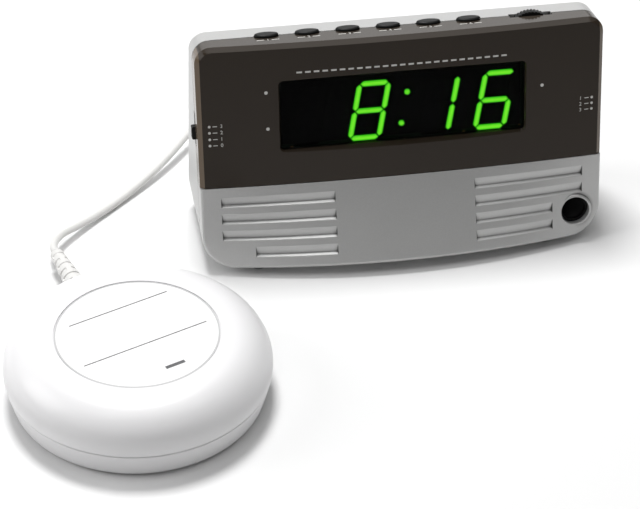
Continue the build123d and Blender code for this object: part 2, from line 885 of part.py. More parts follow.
def shaker_top():
    body = (puck_outer & above_seam) - puck_inner
    for angle in screw_angles:
        x, y = ring_place(angle)
        body += rod_z(puck_post_radius, x, y, puck_wall + puck_post_height, puck_top - puck_wall / 2)
        body -= rod_z(screw_radius + running_fit, x, y, 0, puck_seam + 6)
    body -= rod_z(label_radius, 0, 0, puck_top - label_recess, puck_top + 1)
    ring = rod_z(puck_radius + 1, 0, 0, puck_seam, puck_seam + seam_groove)
    ring -= rod_z(seam_radius - seam_groove, 0, 0, puck_seam, puck_seam + seam_groove)
    return body - ring


def shaker_base():
    body = (puck_outer & below_seam).solid()
    body = fillet(body.edges().group_by(Axis.Z)[-1], puck_lip) - puck_inner
    for angle in screw_angles:
        x, y = ring_place(angle)
        tube = rod_z(puck_post_radius, x, y, puck_wall / 2, puck_wall + puck_post_height)
        body += tube
        body -= rod_z(screw_radius + fit, x, y, -1, far)
        body -= rod_z(screw_head_radius + loose, x, y, -1, puck_wall + 2)
    middle = motor_left + motor_length / 2
    for x in (motor_left + 4, motor_left + motor_length - 4):
        cradle = block(x - 1.5, x + 1.5, -motor_radius, motor_radius, puck_wall / 2, cradle_top)
        body += cradle - rod_x(motor_radius + fit, 0, motor_z, x - 3, x + 3)
    for side in (-1, 1):
        y = side * (motor_radius + clamp_foot / 2 + fit)
        body += rod_z(puck_post_radius, middle, y, puck_wall / 2, cradle_top)
        body -= rod_z(board_screw_radius + running_fit, middle, y, puck_wall, cradle_top)
    body -= relief_way * rod_x(relief_neck_radius + fit / 2, 0, 0, relief_inner, far)
    return body


def shaker_label():
    low = puck_top - label_recess
    return rod_z(label_radius - 0.3, 0, 0, low, low + label_thickness)


def motor_case():
    right = motor_left + motor_length
    body = rod_x(motor_radius, 0, motor_z, motor_left, right)
    body = fillet(body.edges().filter_by(GeomType.CIRCLE), 1.2)
    boss = rod_x(3.0, 0, motor_z, right, right + 1.5)
    return body + boss - rod_x(shaft_radius + running_fit, 0, motor_z, motor_left + 4, far)


def motor_clamp():
    middle = motor_left + motor_length / 2
    outer = motor_radius + fit + clamp_thickness
    reach = motor_radius + clamp_foot + fit
    span = (middle - clamp_width / 2, middle + clamp_width / 2)
    body = rod_x(outer, 0, motor_z, *span) & block(-far, far, -far, far, motor_z, far)
    body += block(*span, -outer, outer, cradle_top, motor_z)
    body += block(*span, -reach, reach, cradle_top, cradle_top + clamp_thickness)
    body -= rod_x(motor_radius + fit, 0, motor_z, *span)
    body -= block(*span, -motor_radius - fit, motor_radius + fit, 0, motor_z)
    for side in (-1, 1):
        y = side * (motor_radius + clamp_foot / 2 + fit)
        body -= rod_z(board_screw_radius + fit, middle, y, 0, cradle_top + clamp_thickness + 1)
    return body


def clamp_screws():
    middle = motor_left + motor_length / 2
    group = Part()
    for side in (-1, 1):
        y = side * (motor_radius + clamp_foot / 2 + fit)
        one = small_screw(clamp_thickness + board_screw_grip)
        group += Pos(middle, y, cradle_top + clamp_thickness) * one
    return group


def motor_shaft():
    right = motor_left + motor_length
    return rod_x(shaft_radius, 0, motor_z, motor_left + 5, right + shaft_reach)


def eccentric_weight():
    start = motor_left + motor_length + weight_gap
    body = rod_x(weight_radius, 0, motor_z, start, start + weight_length)
    body &= block(-far, far, -far, far, 0, motor_z)
    body += rod_x(shaft_radius + 2, 0, motor_z, start, start + weight_length)
    return body - rod_x(shaft_radius + 0.02, 0, motor_z, start - 1, start + weight_length + 1)


def shaker_screws():
    group = Part()
    head = puck_wall + 2
    for angle in screw_angles:
        x, y = ring_place(angle)
        one = Rot(180, 0, 0) * screw(screw_head_radius, screw_head_height, screw_radius, puck_screw_length)
        group += Pos(x, y, head) * one
    return group


def strain_relief():
    """Tapered rubber sleeve with ring ribs, through the puck's wall."""
    start = puck_radius + relief_gap
    body = rod_x(relief_neck_radius, 0, 0, relief_inner, start)
    body += rod_x(relief_collar_radius, 0, 0, relief_inner, relief_inner + relief_collar_length)
    length = relief_tip - start
    pitch = length / relief_ribs
    for index in range(relief_ribs):
        share = (index + 0.5) / relief_ribs
        radius = relief_root_radius + (relief_tip_radius - relief_root_radius) * share
        x = start + pitch * index
        rib = pitch * 0.62
        body += rod_x(radius, 0, 0, x, x + rib)
        body += rod_x(radius - 0.7, 0, 0, x + rib, x + pitch)
    return relief_way * body


# Cord: a free stretch, the put-away coil and the lead to its plug
relief_out = Vector(cos(radians(relief_angle)), sin(radians(relief_angle)), 0)
cord_start = Vector(puck_x, puck_y, relief_z) + relief_out * relief_tip
coil_low = tie_thickness + tie_room + cord_radius
coil_high = coil_low + layer_step * (coil_layers - 1)
coil_inner = coil_outer - coil_step * coil_turns
coil_spoke = Vector(cos(radians(coil_angle)), sin(radians(coil_angle)), 0)
coil_way = Vector(sin(radians(coil_angle)), -cos(radians(coil_angle)), 0)
coil_entry = Vector(coil_x, coil_y, coil_high) + coil_spoke * coil_outer - coil_way * cord_diameter
coil_exit = Vector(coil_x, coil_y, coil_low) - coil_spoke * coil_outer - coil_way * cord_diameter
plug_end_y = recess_y + socket_flange + loose + plug_grip_length + plug_relief_length
run_points = [
    cord_start,
    cord_start + relief_out * 7.0,
    Vector(-143.2, 8.0, 6.2),
    Vector(-136.6, 13.9, 4.6),
    Vector(-127.5, 21.4, 2.6),
    Vector(-117.0, 29.9, 1.9),
    Vector(-105.8, 39.4, 2.4),
    Vector(-95.0, 49.6, 3.8),
    Vector(-85.5, 60.6, 5.4),
    Vector(-77.0, 72.0, 7.0),
    Vector(-66.0, 83.2, 8.4),
    Vector(-52.5, 92.2, 10.0),
    Vector(-37.0, 98.8, 11.4),
    Vector(-21.0, 103.0, 12.6),
    Vector(-6.0, 106.0, 13.6),
    coil_entry - coil_way * 10.0,
    coil_entry,
]
lead_points = [
    coil_exit,
    coil_exit - coil_way * 6.5,
    Vector(38.6, 73.2, 6.2),
    Vector(36.3, 66.6, 10.6),
    Vector(socket_x, plug_end_y + 6.2, socket_z),
    Vector(socket_x, plug_end_y, socket_z),
]


def bend_radii(points):
    """Each corner's arc is as large as its two runs allow."""
    radii = []
    for before, corner, after in zip(points, points[1:], points[2:]):
        first = corner - before
        second = after - corner
        turn = radians(first.get_angle(second))
        radii.append(0.45 * min(first.length, second.length) / tan(turn / 2))
    return radii


def cord_tube(name, points):
    radii = bend_radii(points)
    path = FilletPolyline(*points, radius=radii)
    start = Plane(origin=points[0], z_dir=points[1] - points[0])
    tube = sweep(start * Circle(cord_radius), path=path)
    share = tube.volume / (pi * cord_radius**2 * path.length)
    print(name, "length", round(path.length, 1), "least radius", round(min(radii), 1),
          "volume share", round(share, 4))
    return tube


def biarc(p1, t1, p2, t2):
    """Two arcs, tangent to each other and to the given directions."""
    chord = p2 - p1
    both = t1 + t2
    spread = 2 * (1 - t1.dot(t2))
    dot = chord.dot(both)
    reach = (sqrt(dot**2 + spread * chord.dot(chord)) - dot) / spread
    first = p1 + t1 * reach
    second = p2 - t2 * reach
    joint = (first + second) * 0.5
    return [TangentArc(p1, joint, tangent=t1), TangentArc(joint, p2, tangent=second - first)]


def coil_stations():
    """Radius and height at every half turn, from the outer end of the top layer to that of the lowest."""
    stations = []
    for layer in range(coil_layers):
        z = coil_high - layer_step * layer
        for half_turn in range(2 * coil_turns + 1):
            inward = coil_step * half_turn / 2
            radius = coil_outer - inward if layer % 2 == 0 else coil_inner + inward
            stations.append((radius, z))
    return stations


def least_gap(path, length):
    """Least clear space between two turns of the coil, measured on points along it."""
    count = round(length / 1.2)
    points = [path.position_at(index / count) for index in range(count + 1)]
    skip = round(8 * cord_diameter / 1.2)
    least = far
    for index, here in enumerate(points):
        for other in points[index + skip:]:
            if abs(here.X - other.X) < 6 and abs(here.Y - other.Y) < 6:
                least = min(least, (here - other).length)
    return least - cord_diameter


def cord_coil():
    edges = [Line(coil_entry, coil_entry + coil_way * cord_diameter)]
    side = 1
    for (r1, z1), (r2, z2) in zip(coil_stations(), coil_stations()[1:]):
        p1 = Vector(coil_x, coil_y, z1) + coil_spoke * (side * r1)
        p2 = Vector(coil_x, coil_y, z2) - coil_spoke * (side * r2)
        edges += biarc(p1, coil_way * side, p2, coil_way * -side)
        side = -side
    edges.append(Line(coil_exit + coil_way * cord_diameter, coil_exit))
    path = Wire(edges)
    start = Plane(origin=coil_entry, z_dir=coil_way)
    tube = sweep(start * Circle(cord_radius), path=path)
    share = tube.volume / (pi * cord_radius**2 * path.length)
    print("cord_coil length", round(path.length, 1), "loops", (len(coil_stations()) - 1) / 2,
          "least gap", round(least_gap(path, path.length), 2), "volume share", round(share, 4))
    return tube


def cord_tie():
    """Flat band round all the turns on the coil's near side."""
    room = cord_radius + tie_room
    y0 = coil_y - coil_outer - room
    y1 = coil_y - coil_inner + room + coil_step / 4
    z1 = coil_high + room
    half = tie_width / 2
    edge = tie_thickness
    outer = block(coil_x - half, coil_x + half, y0 - edge, y1 + edge, 0, z1 + edge)
    outer = fillet(outer.edges().filter_by(Axis.X), 1.0)
    return outer - block(coil_x - half, coil_x + half, y0, y1, edge, z1)


def cord_plug():
    """Plug seated in the right-hand socket, with a ridged grip and a tapered end."""
    face = recess_y + socket_flange + loose
    body = rod_y(plug_radius, socket_x, socket_z, socket_floor + plug_gap, face)
    grip = rod_y(plug_grip_radius, socket_x, socket_z, face, face + plug_grip_length)
    grip = fillet(grip.edges().filter_by(GeomType.CIRCLE), 0.8)
    for index in range(5):
        y = face + 5 + index * 2.2
        ring = rod_y(plug_grip_radius + 1, socket_x, socket_z, y, y + 0.9)
        grip -= ring - rod_y(plug_grip_radius - 0.4, socket_x, socket_z, y, y + 0.9)
    middle = face + plug_grip_length + plug_relief_length / 2
    taper = Pos(socket_x, middle, socket_z) * Rot(-90, 0, 0)
    return body + grip + taper * Cone(plug_grip_radius - 1.2, plug_relief_radius, plug_relief_length)


clock = {
    "rear_shell": rear_shell(),
    "front_shell": front_shell(),
    "lens_cover": lens_cover(),
    "display_window": display_window(),
    "led_module": led_module(),
    "lit_segments": lit_segments(),
    "main_board": main_board(),
    "button_board": button_board(),
    "volume_wheel": volume_wheel(),
    "volume_pot": volume_pot(),
    "siren_horn": siren_horn(),
    "siren_can": siren_can(),
    "left_switch": slide_switch(-1, left_slot),
    "left_knob": slide_knob(-1, left_slot[0] + left_switch_step),
    "right_switch": slide_switch(1, right_slot),
    "right_knob": slide_knob(1, right_slot[0] + right_switch_step),
    "case_screws": case_screws(),
    "board_screws": board_screws(),
}
for index, x in enumerate(button_places, start=1):
    clock[f"button_{index}"] = push_button(x)
    clock[f"tact_switch_{index}"] = tact_switch(x)

base = {
    "shaker_socket": socket(1),
    "power_inlet": socket(-1),
    "power_pin": power_pin(),
    "backup_battery": backup_battery(),
    "battery_snap": battery_snap(),
    "battery_door": battery_door(),
}
for row, y in (("front", foot_front_y), ("rear", foot_rear_y)):
    base[f"foot_{row}_left"] = foot(-foot_x, y)
    base[f"foot_{row}_right"] = foot(foot_x, y)

puck = {
    "shaker_top": shaker_top(),
    "shaker_base": shaker_base(),
    "shaker_label": shaker_label(),
    "motor_case": motor_case(),
    "motor_clamp": motor_clamp(),
    "motor_shaft": motor_shaft(),
    "eccentric_weight": eccentric_weight(),
    "clamp_screws": clamp_screws(),
    "shaker_screws": shaker_screws(),
}

cord = {
    "strain_relief": Pos(puck_x, puck_y, 0) * strain_relief(),
    "cord_run": cord_tube("cord_run", run_points),
    "cord_coil": cord_coil(),
    "cord_lead": cord_tube("cord_lead", lead_points),
    "cord_tie": cord_tie(),
    "cord_plug": cord_plug(),
}

# The origin goes under the middle of everything but the cord
pieces = {name: leaned * shape for name, shape in clock.items()}
pieces |= base
pieces |= {name: Pos(puck_x, puck_y, 0) * shape for name, shape in puck.items()}
boxes = [shape.bounding_box() for shape in pieces.values()]
middle_x = (min(box.min.X for box in boxes) + max(box.max.X for box in boxes)) / 2
middle_y = (min(box.min.Y for box in boxes) + max(box.max.Y for box in boxes)) / 2
print("middle of the ground covered", round(middle_x, 4), round(middle_y, 4))

os.makedirs("parts", exist_ok=True)
for name, shape in (pieces | cord).items():
    export_step(Pos(-middle_x, -middle_y, 0) * shape, f"parts/{name}.step")
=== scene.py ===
import math

import bmesh
import bpy
from mathutils import Matrix, Vector


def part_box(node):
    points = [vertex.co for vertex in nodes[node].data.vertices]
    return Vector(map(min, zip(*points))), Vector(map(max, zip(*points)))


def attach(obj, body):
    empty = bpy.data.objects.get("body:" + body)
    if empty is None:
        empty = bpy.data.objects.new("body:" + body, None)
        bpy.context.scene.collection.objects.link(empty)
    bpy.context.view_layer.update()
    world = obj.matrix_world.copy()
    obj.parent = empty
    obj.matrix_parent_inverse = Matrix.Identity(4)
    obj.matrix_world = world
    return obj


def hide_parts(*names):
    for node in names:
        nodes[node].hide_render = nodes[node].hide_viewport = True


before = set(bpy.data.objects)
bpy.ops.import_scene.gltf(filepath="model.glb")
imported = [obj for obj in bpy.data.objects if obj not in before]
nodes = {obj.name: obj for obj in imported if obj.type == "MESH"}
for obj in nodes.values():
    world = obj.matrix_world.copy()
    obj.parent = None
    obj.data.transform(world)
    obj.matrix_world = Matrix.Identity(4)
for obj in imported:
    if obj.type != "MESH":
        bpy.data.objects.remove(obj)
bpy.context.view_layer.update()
mm = 0.001
wholeBody = "clock_and_shaker"
print("frame loaded:", len(nodes), "nodes")

# places are in millimetres from the middle of the clock's base
# the clock is drawn upright, then leaned back
case = dict(homeX=42.1, homeY=54.0134, lean=12.2, footY=-20.0, footZ=3.0, halfWidth=83.0, lensBow=3.6,
            top=95.0)
home = Vector((case["homeX"], case["homeY"], 0))
ground = Matrix.Scale(mm, 4) @ Matrix.Translation(home)
leaned = (ground @ Matrix.Translation((0, case["footY"], case["footZ"]))
          @ Matrix.Rotation(-math.radians(case["lean"]), 4, "X"))


def lensDepth(u):  # how far back the bowed lens lies at this place across the face
    radius = (case["halfWidth"] ** 2 + case["lensBow"] ** 2) / (2 * case["lensBow"])
    return radius - math.sqrt(radius ** 2 - u ** 2) - case["lensBow"]


# shader maths


class Value:  # a shader socket that takes Python arithmetic
    def __init__(self, finish, socket):
        self.finish = finish
        self.socket = socket

    def combine(self, operation, first, second):
        return self.finish.node("ShaderNodeMath", {"operation": operation}, {0: first, 1: second})

    def __add__(self, other):
        return self.combine("ADD", self, other)

    def __radd__(self, other):
        return self.combine("ADD", other, self)

    def __sub__(self, other):
        return self.combine("SUBTRACT", self, other)

    def __mul__(self, other):
        return self.combine("MULTIPLY", self, other)

    def __gt__(self, other):
        return self.combine("GREATER_THAN", self, other)

    def __lt__(self, other):
        return self.combine("LESS_THAN", self, other)

    def sway(self, amount):  # swings to both sides of nought
        return (self - 0.5) * amount


shaderSockets = dict(baseColor="Base Color", roughness="Roughness", metallic="Metallic", alpha="Alpha",
                     coatWeight="Coat Weight", coatRoughness="Coat Roughness", specular="Specular IOR Level",
                     emissionColor="Emission Color", emissionStrength="Emission Strength", normal="Normal")


class Finish:  # one procedural material
    def __init__(self, name):
        self.material = bpy.data.materials.new(name)
        self.material.use_nodes = True
        self.tree = self.material.node_tree
        self.shader = self.tree.nodes["Principled BSDF"]

    def node(self, kind, settings=None, sockets=None, output=0):
        made = self.tree.nodes.new(kind)
        for name, setting in (settings or {}).items():
            setattr(made, name, setting)
        for name, value in (sockets or {}).items():
            self.feed(made.inputs[name], value)
        return Value(self, made.outputs[output])

    def feed(self, socket, value):
        if isinstance(value, Value):
            self.tree.links.new(value.socket, socket)
        else:
            socket.default_value = value

    def surface(self, **sockets):
        for name, value in sockets.items():
            self.feed(self.shader.inputs[shaderSockets[name]], value)

    def place(self, scale=(1, 1, 1)):
        spot = self.node("ShaderNodeTexCoord", output="Object")
        if tuple(scale) == (1, 1, 1):
            return spot
        return self.node("ShaderNodeMapping", {}, {"Vector": spot, "Scale": scale})

    def axis(self, name):
        return self.node("ShaderNodeSeparateXYZ", {}, {"Vector": self.place()}, name)

    def noise(self, scale, detail=2.0, stretch=(1, 1, 1)):
        sockets = {"Vector": self.place(stretch), "Scale": scale, "Detail": detail}
        return self.node("ShaderNodeTexNoise", {}, sockets)

    def blend(self, mask, low, high):  # two plain colours
        return self.layer(mask, (*low, 1), (*high, 1))

    def layer(self, mask, under, over):  # colours with alpha, or whole mixes
        return self.node("ShaderNodeMix", {"data_type": "RGBA"}, {0: mask, 6: under, 7: over}, 2)

    def paintedCreaseShade(self, reach, floor, gain):  # painted shade: 1 on open ground, 0 in the creases, where the colour is darkened as if shadowed
        settings = {"samples": 8, "only_local": True}
        shade = self.node("ShaderNodeAmbientOcclusion", settings, {"Distance": reach}, "AO")
        return (shade - floor) * gain

    def edgeNormal(self, radius):  # rounds hard edges by a small radius
        return self.node("ShaderNodeBevel", {"samples": 4}, {"Radius": radius})

    def bump(self, height, strength, distance, normal=None):
        sockets = {"Height": height, "Strength": strength, "Distance": distance}
        if normal:
            sockets["Normal"] = normal
        return self.node("ShaderNodeBump", {}, sockets)


# finishes: each bump is a strength and a depth in metres


def silverPaint():
    look = dict(dark=(0.42, 0.42, 0.415), light=(0.54, 0.54, 0.535), paintedShadeTone=(0.07, 0.07, 0.068, 1),
                paintedShadeReach=0.002, paintedShadeFloor=0.66, paintedShadeGain=3.4, flake=2400, flakeShare=0.7, drift=22,
                driftShare=0.3, roughness=0.36, driftRough=0.1, metal=0.4, coat=0.12, coatRough=0.25,
                bump=(0.12, 0.00005), edge=0.0005)
    f = Finish("silverPaint")
    flake = f.noise(look["flake"], 3)
    drift = f.noise(look["drift"], 4)
    paint = f.blend(flake * look["flakeShare"] + drift * look["driftShare"], look["dark"], look["light"])
    # painted shade: ambient occlusion darkens the silver towards a near-black tone in creases and hollows
    unshadedShare = f.paintedCreaseShade(look["paintedShadeReach"], look["paintedShadeFloor"], look["paintedShadeGain"])
    f.surface(baseColor=f.layer(unshadedShare, look["paintedShadeTone"], paint),
              roughness=look["roughness"] + drift.sway(look["driftRough"]), metallic=look["metal"],
              coatWeight=look["coat"], coatRoughness=look["coatRough"],
              normal=f.bump(flake, *look["bump"], f.edgeNormal(look["edge"])))
    return f.material


def smokedPlastic():  # its cut edges at the top and the sides are paler than the face; the side edges are painted paler still, as painted light for the light they catch
    look = dict(dark=(0.022, 0.0158, 0.0107), light=(0.031, 0.0225, 0.0154), topEdge=(0.042, 0.034, 0.027, 1),
                sideEdgePaintedLight=(0.12, 0.088, 0.06, 1), rim=1.8, smear=16, grain=1500, roughness=0.16,
                smearRough=0.08, grainRough=0.03, specular=0.2, bump=(0.03, 0.00003), edge=0.0004)
    f = Finish("smokedPlastic")
    smear = f.noise(look["smear"], 5)
    grain = f.noise(look["grain"], 2)
    tilt = math.radians(case["lean"])
    across = f.axis("X") - case["homeX"] * mm
    up = ((f.axis("Y") - (case["homeY"] + case["footY"]) * mm) * math.sin(tilt)
          + (f.axis("Z") - case["footZ"] * mm) * math.cos(tilt))
    side = across * across > ((case["halfWidth"] - look["rim"]) * mm) ** 2
    top = up > (case["top"] - look["rim"]) * mm
    body = f.blend(smear, look["dark"], look["light"])
    # painted light: the side edges are painted lighter than the top edge
    f.surface(baseColor=f.layer(top, f.layer(side, body, look["sideEdgePaintedLight"]), look["topEdge"]),
              roughness=look["roughness"] + smear.sway(look["smearRough"]) + grain.sway(look["grainRough"]),
              specular=look["specular"], normal=f.bump(grain, *look["bump"], f.edgeNormal(look["edge"])))
    return f.material


def darkPane():
    look = dict(dark=(0.0008, 0.0008, 0.0008), light=(0.0016, 0.0016, 0.0016), wipe=40, stretch=(1, 1, 4),
                roughness=0.08, wipeRough=0.06, alpha=0.4, specular=0.05)
    f = Finish("darkPane")
    wipe = f.noise(look["wipe"], 3, look["stretch"])
    f.surface(baseColor=f.blend(wipe, look["dark"], look["light"]), alpha=look["alpha"],
              roughness=look["roughness"] + wipe * look["wipeRough"], specular=look["specular"])
    return f.material


def litGreen():  # brighter where the bar's own "core" attribute is 1
    look = dict(body=(0.02, 0.1, 0.01, 1), edge=(0.02, 0.62, 0.002), core=(0.22, 1.0, 0.035), strength=2.1,
                grain=500, evenShare=0.75, grainShare=0.5, roughness=0.5)
    f = Finish("litGreen")
    core = f.node("ShaderNodeAttribute", {"attribute_name": "core"}, {}, "Fac")
    grain = f.noise(look["grain"], 2)
    glow = core * (look["evenShare"] + grain * look["grainShare"])
    f.surface(baseColor=look["body"], roughness=look["roughness"], emissionStrength=look["strength"],
              emissionColor=f.blend(glow, look["edge"], look["core"]))
    return f.material


def unlitGrey():
    look = dict(dark=(0.0022, 0.0025, 0.0022), light=(0.0034, 0.0038, 0.0034), grain=900, roughness=0.7,
                grainRough=0.2, specular=0.05)
    f = Finish("unlitGrey")
    grain = f.noise(look["grain"], 2)
    f.surface(baseColor=f.blend(grain, look["dark"], look["light"]),
              roughness=look["roughness"] + grain * look["grainRough"], specular=look["specular"])
    return f.material


def inkFinish(name, look):  # print with a fine wear
    f = Finish(name)
    wear = f.noise(look["wear"], 3)
    f.surface(baseColor=f.blend(wear, look["low"], look["high"]),
              roughness=look["roughness"] + wear * look["wearRough"])
    return f.material


def printWhite():
    return inkFinish("printWhite", dict(low=(0.42, 0.41, 0.39), high=(0.72, 0.71, 0.68), wear=2600,
                                        roughness=0.55, wearRough=0.2))


def labelInk():
    return inkFinish("labelInk", dict(low=(0.05, 0.05, 0.055), high=(0.16, 0.16, 0.165), wear=1500,
                                      roughness=0.6, wearRough=0.1))


def blackPlastic(name="blackPlastic", tone=0.012, roughness=0.36, specular=0.5):
    look = dict(darkShare=0.7, lightShare=1.4, grain=1900, drift=60, grainRough=0.12, bump=(0.1, 0.00004),
                edge=0.0003)
    f = Finish(name)
    grain = f.noise(look["grain"], 3)
    drift = f.noise(look["drift"], 3)
    f.surface(baseColor=f.blend(drift, (tone * look["darkShare"],) * 3, (tone * look["lightShare"],) * 3),
              roughness=roughness + grain.sway(look["grainRough"]), specular=specular,
              normal=f.bump(grain, *look["bump"], f.edgeNormal(look["edge"])))
    return f.material


def whiteShell():
    look = dict(cool=(0.755, 0.75, 0.76), warm=(0.795, 0.79, 0.795), drift=14, grain=1300, roughness=0.34,
                driftRough=0.08, grainRough=0.05, coat=0.08, bump=(0.05, 0.00003))
    f = Finish("whiteShell")
    drift = f.noise(look["drift"], 4)
    grain = f.noise(look["grain"], 2)
    f.surface(baseColor=f.blend(drift, look["cool"], look["warm"]),
              roughness=look["roughness"] + drift.sway(look["driftRough"]) + grain.sway(look["grainRough"]),
              coatWeight=look["coat"], normal=f.bump(grain, *look["bump"]))
    return f.material


# the puck's label: its middle, the turn of its print, and each rule's place, length and width
label = dict(x=-117.4, y=-88.2, z=28.8, turn=21.6, lift=0.02,
             bars=((0.7, 16.6, 42.0, 0.5), (0.0, -7.0, 52.0, 0.5), (3.7, -23.2, 8.0, 1.6)))


def labelPaper():  # with a grey rim that is painted shade, standing in for the shadow of the recess wall round the label
    look = dict(dull=(0.77, 0.77, 0.77), bright=(0.83, 0.83, 0.825), rim=(0.5, 0.5, 0.505, 1), paintedShadeStart=30.75,
                fibre=900, stretch=(1, 3, 1), roughness=0.5, fibreRough=0.15, bump=(0.06, 0.00003))
    f = Finish("labelPaper")
    fibre = f.noise(look["fibre"], 5, look["stretch"])
    across = f.axis("X") - (case["homeX"] + label["x"]) * mm
    along = f.axis("Y") - (case["homeY"] + label["y"]) * mm
    # painted shade: a grey ring round the label's edge
    rim = across * across + along * along > (look["paintedShadeStart"] * mm) ** 2
    paper = f.blend(fibre, look["dull"], look["bright"])
    f.surface(baseColor=f.layer(rim, paper, look["rim"]),
              roughness=look["roughness"] + fibre * look["fibreRough"], normal=f.bump(fibre, *look["bump"]))
    return f.material


def whiteVinyl(name="whiteVinyl"):
    look = dict(dull=(0.66, 0.655, 0.64), bright=(0.73, 0.725, 0.71), drift=45, grain=1600, roughness=0.4,
                driftRough=0.12, grainRough=0.06, bump=(0.08, 0.00003))
    f = Finish(name)
    drift = f.noise(look["drift"], 4)
    grain = f.noise(look["grain"], 2)
    f.surface(baseColor=f.blend(drift, look["dull"], look["bright"]),
              roughness=look["roughness"] + drift.sway(look["driftRough"]) + grain.sway(look["grainRough"]),
              normal=f.bump(grain, *look["bump"]))
    return f.material


def footRubber():
    look = dict(dark=(0.014, 0.014, 0.014), light=(0.03, 0.03, 0.029), grain=1400, roughness=0.75,
                grainRough=0.15, bump=(0.25, 0.00008))
    f = Finish("footRubber")
    grain = f.noise(look["grain"], 4)
    f.surface(baseColor=f.blend(grain, look["dark"], look["light"]),
              roughness=look["roughness"] + grain * look["grainRough"], normal=f.bump(grain, *look["bump"]))
    return f.material


def brushedSteel(name="brushedSteel", low=(0.42, 0.42, 0.43), high=(0.62, 0.62, 0.63), stretch=(1, 12, 12)):
    look = dict(brush=700, roughness=0.26, brushRough=0.18, bump=(0.08, 0.00003))
    f = Finish(name)
    brush = f.noise(look["brush"], 4, stretch)
    f.surface(baseColor=f.blend(brush, low, high), metallic=1.0,
              roughness=look["roughness"] + brush * look["brushRough"], normal=f.bump(brush, *look["bump"]))
    return f.material


def boardGreen():
    look = dict(mask=(0.008, 0.06, 0.02), trace=(0.016, 0.10, 0.035), copper=(0.45, 0.33, 0.12, 1), cell=420,
                stagger=0.37, gap=0.04, trackShare=0.8, grainShare=0.2, padScale=260.0, padSize=0.18,
                padMetal=0.9, grain=900, roughness=0.34, grainRough=0.12, bump=(0.2, 0.00005))
    f = Finish("boardGreen")
    tracks = f.node("ShaderNodeTexBrick", {"offset": look["stagger"]},
                    {"Vector": f.place(), "Scale": look["cell"], "Mortar Size": look["gap"]}, "Fac")
    dots = f.node("ShaderNodeTexVoronoi", {}, {"Vector": f.place(), "Scale": look["padScale"]}, "Distance")
    pads = dots < look["padSize"]
    grain = f.noise(look["grain"], 3)
    greens = f.blend(tracks * look["trackShare"] + grain * look["grainShare"], look["mask"], look["trace"])
    f.surface(baseColor=f.layer(pads, greens, look["copper"]),
              roughness=look["roughness"] + grain * look["grainRough"], metallic=pads * look["padMetal"],
              normal=f.bump(tracks + pads, *look["bump"]))
    return f.material


def batteryJacket():  # dark, with one band round it
    look = dict(body=(0.012, 0.018, 0.03), band=(0.42, 0.30, 0.10), bandFrom=0.0186, bandTo=0.0281, grain=700,
                evenShare=0.85, grainShare=0.15, metal=0.6, roughness=0.3, grainRough=0.1)
    f = Finish("batteryJacket")
    along = f.axis("X")
    band = (along > look["bandFrom"]) * (along < look["bandTo"])
    grain = f.noise(look["grain"], 3)
    share = band * (look["evenShare"] + grain * look["grainShare"])
    f.surface(baseColor=f.blend(share, look["body"], look["band"]), metallic=look["metal"],
              roughness=look["roughness"] + grain * look["grainRough"])
    return f.material


def floorWhite():
    look = dict(dull=(0.79, 0.79, 0.79), bright=(0.81, 0.81, 0.81), drift=3, roughness=0.65, specular=0.2)
    f = Finish("floorWhite")
    drift = f.noise(look["drift"], 3)
    f.surface(baseColor=f.blend(drift, look["dull"], look["bright"]), roughness=look["roughness"],
              specular=look["specular"])
    return f.material


def dress(material, *names):
    for name in names:
        nodes[name].data.materials.clear()
        nodes[name].data.materials.append(material)


vinyl = whiteVinyl()
printed = printWhite()
buttonNames = [f"button_{index}" for index in range(1, 7)]
tactNames = [f"tact_switch_{index}" for index in range(1, 7)]
footNames = [f"foot_{row}_{side}" for row in ("front", "rear") for side in ("left", "right")]
dress(silverPaint(), "front_shell", "rear_shell", "battery_door")
dress(smokedPlastic(), "lens_cover")
dress(darkPane(), "display_window")
dress(blackPlastic("moduleBlack", 0.0015, 0.8, 0.05), "led_module")
dress(boardGreen(), "main_board", "button_board")
dress(blackPlastic("blackSatin", 0.005, 0.42, 0.22), *buttonNames, "volume_wheel", "left_knob", "right_knob")
dress(blackPlastic("hornBlack", 0.004, 0.6, 0.2), "siren_horn", "siren_can")
dress(blackPlastic(), *tactNames, "volume_pot", "left_switch", "right_switch", "power_inlet", "shaker_socket",
      "battery_snap", "motor_clamp")
dress(batteryJacket(), "backup_battery")
dress(footRubber(), *footNames)
dress(brushedSteel(), "case_screws", "board_screws", "clamp_screws", "shaker_screws", "motor_shaft",
      "power_pin")
dress(brushedSteel("motorSteel", (0.34, 0.34, 0.35), (0.5, 0.5, 0.51), (10, 1, 1)), "motor_case")
dress(brushedSteel("turnedBrass", (0.5, 0.34, 0.1), (0.72, 0.52, 0.2), (1, 9, 9)), "eccentric_weight")
dress(whiteShell(), "shaker_top", "shaker_base")
dress(labelPaper(), "shaker_label")
dress(vinyl, "cord_plug")
print("finishes on the solid parts")


# helpers for the modelled pieces


def finishPiece(name, bm, material):
    bmesh.ops.recalc_face_normals(bm, faces=bm.faces)
    mesh = bpy.data.meshes.new(name)
    for face in bm.faces:
        face.smooth = False
    bm.to_mesh(mesh)
    bm.free()
    mesh.materials.append(material)
    piece = bpy.data.objects.new(name, mesh)
    bpy.context.scene.collection.objects.link(piece)
    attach(piece, wholeBody)
    return piece


def ofKind(items, kind):
    return [item for item in items if isinstance(item, kind)]


